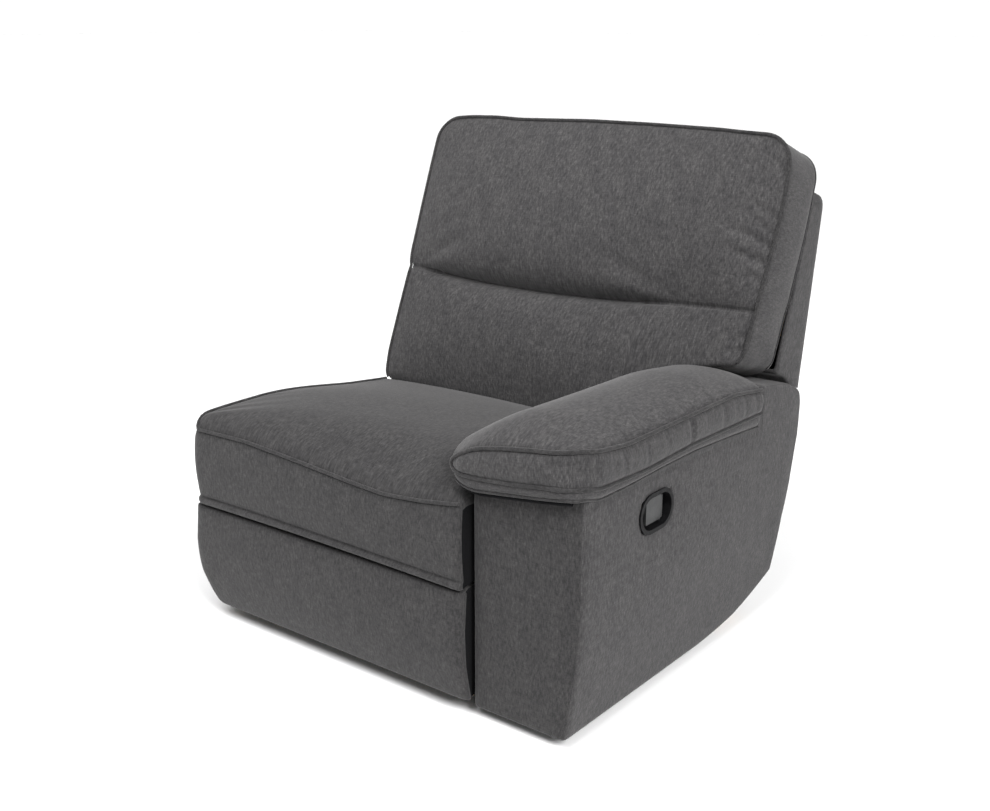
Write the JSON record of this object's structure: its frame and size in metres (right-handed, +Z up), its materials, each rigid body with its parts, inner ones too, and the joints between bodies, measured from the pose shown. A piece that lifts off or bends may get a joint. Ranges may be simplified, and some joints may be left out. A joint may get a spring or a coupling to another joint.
{
  "type": "recliner armchair",
  "caption": "Padded recliner seat with one arm, a reclining back in two pillows, a folding footrest on scissor links and a recessed release handle.",
  "frame": {"origin": "on the floor, under the middle of the overall box", "axes": "+Z up, the sitter faces -Y, +X towards the side with the arm"},
  "size_m": [0.988, 0.9755, 1.03],
  "materials": {
    "frame_wood": "kiln-dried timber and plywood, plain sawn",
    "chenille": "charcoal heathered chenille with a fine upright slub",
    "dust_cloth": "thin black non-woven cloth",
    "cup_plastic": "dark grey moulded plastic, fine satin texture",
    "paddle_plastic": "mid grey moulded plastic",
    "foot_plastic": "black moulded plastic",
    "cable_jacket": "black cable jacket",
    "spring_steel": "oiled spring wire",
    "mechanism_steel": "black-finished stamped steel"
  },
  "bodies": {
    "base": {"base_rail_left": "frame_wood", "base_rail_right": "frame_wood", "front_cross_rail": "frame_wood", "rear_cross_rail": "frame_wood", "left_side_cover": "chenille", "rear_cover": "chenille", "dust_cover": "dust_cloth", "feet": "foot_plastic", "connector_plates": "mechanism_steel", "arm_cover": "chenille", "arm_inner_board": "frame_wood", "arm_outer_board": "frame_wood", "arm_front_board": "frame_wood", "arm_rear_board": "frame_wood", "arm_top_board": "frame_wood", "arm_floor_board": "frame_wood", "arm_pad": "chenille", "handle_cup": "cup_plastic", "lever_pin": "mechanism_steel", "release_cable": "cable_jacket", "base_plate_left": "mechanism_steel", "base_plate_right": "mechanism_steel", "swing_pins": "mechanism_steel"},
    "release_lever": {"release_lever": "paddle_plastic"},
    "front_swing": {"swing_links_front": "mechanism_steel"},
    "rear_swing": {"swing_links_rear": "mechanism_steel"},
    "seat": {"seat_plate_left": "mechanism_steel", "seat_plate_right": "mechanism_steel", "seat_pins": "mechanism_steel", "seat_rail_left": "frame_wood", "seat_rail_right": "frame_wood", "seat_front_rail": "frame_wood", "seat_rear_rail": "frame_wood", "seat_springs": "spring_steel", "seat_cushion": "chenille"},
    "drive_links": {"drive_link_left": "mechanism_steel", "drive_link_right": "mechanism_steel"},
    "lift_links": {"lift_link_left": "mechanism_steel", "lift_link_right": "mechanism_steel"},
    "scissor_links": {"scissor_link_left": "mechanism_steel", "scissor_link_right": "mechanism_steel"},
    "tie_links": {"tie_link_left": "mechanism_steel", "tie_link_right": "mechanism_steel"},
    "footrest": {"ottoman_bracket_left": "mechanism_steel", "ottoman_bracket_right": "mechanism_steel", "footrest_board": "frame_wood", "footrest_pad": "chenille"},
    "back": {"back_post_left": "frame_wood", "back_post_right": "frame_wood", "back_top_rail": "frame_wood", "back_low_rail": "frame_wood", "wing_rail": "frame_wood", "wing_post": "frame_wood", "back_springs": "spring_steel", "back_bracket_left": "mechanism_steel", "back_bracket_right": "mechanism_steel", "back_shell": "chenille", "lumbar_pillow": "chenille", "upper_pillow": "chenille"}
  },
  "joints": [
    {"name": "back_recline", "type": "hinge", "parent": "seat", "child": "back", "pos_m": [-0.1215, 0.2975, 0.347], "axis": [-1, 0, 0], "range_deg": [0, 24]},
    {"name": "seat_glide", "type": "slide", "parent": "base", "child": "seat", "axis": [0, -1, 0], "range_m": [0, 0.0301]},
    {"name": "front_swing_turn", "type": "hinge", "parent": "base", "child": "front_swing", "pos_m": [-0.1215, -0.19, 0.13], "axis": [1, 0, 0], "range_deg": [0, 19.3]},
    {"name": "rear_swing_turn", "type": "hinge", "parent": "base", "child": "rear_swing", "pos_m": [-0.1215, 0.17, 0.13], "axis": [1, 0, 0], "range_deg": [0, 19.3]},
    {"name": "footrest_open", "type": "hinge", "parent": "seat", "child": "drive_links", "pos_m": [-0.1215, -0.3287, 0.202], "axis": [-1, 0, 0], "range_deg": [0, 104.8]},
    {"name": "lift_turn", "type": "hinge", "parent": "drive_links", "child": "lift_links", "pos_m": [-0.1215, -0.2596, 0.071], "axis": [1, 0, 0], "range_deg": [0, 111.81]},
    {"name": "scissor_turn", "type": "hinge", "parent": "seat", "child": "scissor_links", "pos_m": [-0.1215, -0.3553, 0.2401], "axis": [-1, 0, 0], "range_deg": [0, 102.8]},
    {"name": "ottoman_turn", "type": "hinge", "parent": "lift_links", "child": "footrest", "pos_m": [-0.1215, -0.3796, 0.238], "axis": [-1, 0, 0], "range_deg": [0, 97.01]},
    {"name": "tie_turn", "type": "hinge", "parent": "footrest", "child": "tie_links", "pos_m": [-0.1215, -0.3538, 0.1895], "axis": [1, 0, 0], "range_deg": [0, 100.58]},
    {"name": "release_pull", "type": "hinge", "parent": "base", "child": "release_lever", "pos_m": [0.473, -0.1825, 0.398], "axis": [0, 0, 1], "range_deg": [0, 30], "stiffness_Nm_per_rad": 0.25}
  ],
  "couplings": [
    {"joint": "seat_glide", "follows": "back_recline", "m_per_rad": 0.07162},
    {"joint": "front_swing_turn", "follows": "back_recline", "ratio": 0.8},
    {"joint": "rear_swing_turn", "follows": "back_recline", "ratio": 0.8},
    {"joint": "lift_turn", "follows": "footrest_open", "ratio": 1.065},
    {"joint": "scissor_turn", "follows": "footrest_open", "ratio": 0.979},
    {"joint": "ottoman_turn", "follows": "footrest_open", "ratio": 0.92378},
    {"joint": "tie_turn", "follows": "footrest_open", "ratio": 0.95778}
  ]
}
